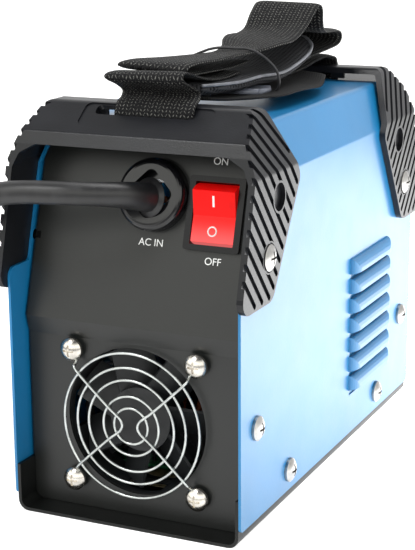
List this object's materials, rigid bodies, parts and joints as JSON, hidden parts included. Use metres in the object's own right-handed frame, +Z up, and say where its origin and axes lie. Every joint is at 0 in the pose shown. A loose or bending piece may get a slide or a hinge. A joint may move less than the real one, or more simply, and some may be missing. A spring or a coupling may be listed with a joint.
{
  "type": "stick welding inverter",
  "caption": "Portable stick welding inverter: folded steel case with louvres and ribbed end guards, rear fan, illuminated rocker switch, mains lead, front sockets and a folded shoulder strap.",
  "frame": {"origin": "centre of the case's footprint between the outer faces of the end guards, on the ground", "axes": "the rear panel with the fan, switch and mains lead faces -Y, the front panel with the knob and sockets faces +Y, +X is to the right seen from the rear, +Z up"},
  "size_m": [0.278, 0.2479, 0.2135],
  "materials": {
    "blue_paint": "satin",
    "black_paint": "satin",
    "grey_paint": "satin",
    "guard_plastic": "satin",
    "screw_steel": "bright",
    "wire_steel": "satin",
    "gloss_black": "gloss",
    "fan_plastic": "matte",
    "rocker_red": "gloss",
    "lead_rubber": "matte",
    "brass": "satin",
    "tinned_metal": "satin",
    "board_green": "satin",
    "sink_aluminium": "satin",
    "capacitor_sleeve": "gloss",
    "ferrite": "matte",
    "powder_core": "matte",
    "copper": "satin",
    "package_black": "matte",
    "relay_blue": "satin",
    "insulation_film": "matte",
    "red_lens": "gloss",
    "led_yellow": "gloss",
    "wire_sleeve": "satin",
    "webbing": "woven",
    "slider_grey": "satin"
  },
  "bodies": {
    "case": {"base_tray": "black_paint", "cover": "blue_paint", "rear_panel": "grey_paint", "front_panel": "black_paint", "rear_guard": "guard_plastic", "front_guard": "guard_plastic", "guard_screws": "screw_steel", "cover_screws": "screw_steel", "fan_wire_guard": "wire_steel", "fan_screws": "screw_steel", "fan_nuts": "wire_steel", "fan_frame": "fan_plastic", "fan_bearing": "brass", "switch_housing": "gloss_black", "switch_terminals": "tinned_metal", "lead_gland": "gloss_black", "gland_nut": "gloss_black", "strain_relief": "lead_rubber", "mains_lead": "lead_rubber", "mains_lead_coil": "lead_rubber", "plug_body": "lead_rubber", "plug_pins": "tinned_metal", "potentiometer": "wire_steel", "pot_nut": "wire_steel", "display_bezel": "gloss_black", "display_lens": "red_lens", "front_board": "board_green", "status_leds": "led_yellow", "socket_insulators": "package_black", "socket_contacts": "brass", "socket_nuts": "package_black", "main_board": "board_green", "board_standoffs": "brass", "board_screws": "screw_steel", "insulation_sheet": "insulation_film", "igbt_heatsinks": "sink_aluminium", "igbt_transistors": "package_black", "bulk_capacitors": "capacitor_sleeve", "transformer_core": "ferrite", "transformer_windings": "copper", "choke_core": "powder_core", "choke_winding": "copper", "rectifier_heatsink": "sink_aluminium", "rectifier_diodes": "package_black", "bridge_rectifier": "package_black", "soft_start_relay": "relay_blue", "control_board": "board_green", "output_busbars": "copper", "supply_leads": "wire_sleeve", "earth_stud": "tinned_metal", "strap_rear_loop": "webbing", "strap_front_loop": "webbing", "strap_bundle": "webbing", "strap_slider": "slider_grey", "strap_tie": "webbing"},
    "impeller": {"fan_rotor": "fan_plastic", "fan_shaft": "wire_steel"},
    "rocker": {"power_rocker": "rocker_red"},
    "knob": {"current_knob": "gloss_black", "knob_shaft": "wire_steel"}
  },
  "joints": [
    {"name": "fan_spin", "type": "hinge", "parent": "case", "child": "impeller", "pos_m": [0, -0.087, 0.045], "axis": [0, -1, 0], "continuous": true},
    {"name": "rocker_tilt", "type": "hinge", "parent": "case", "child": "rocker", "pos_m": [0.0328, -0.08416, 0.13624], "axis": [-1, 0, 0], "range_deg": [0, 20]},
    {"name": "current_dial", "type": "hinge", "parent": "case", "child": "knob", "pos_m": [-0.024, 0.09061, 0.12465], "axis": [0, -0.9568, -0.2907], "range_deg": [0, 270]}
  ]
}
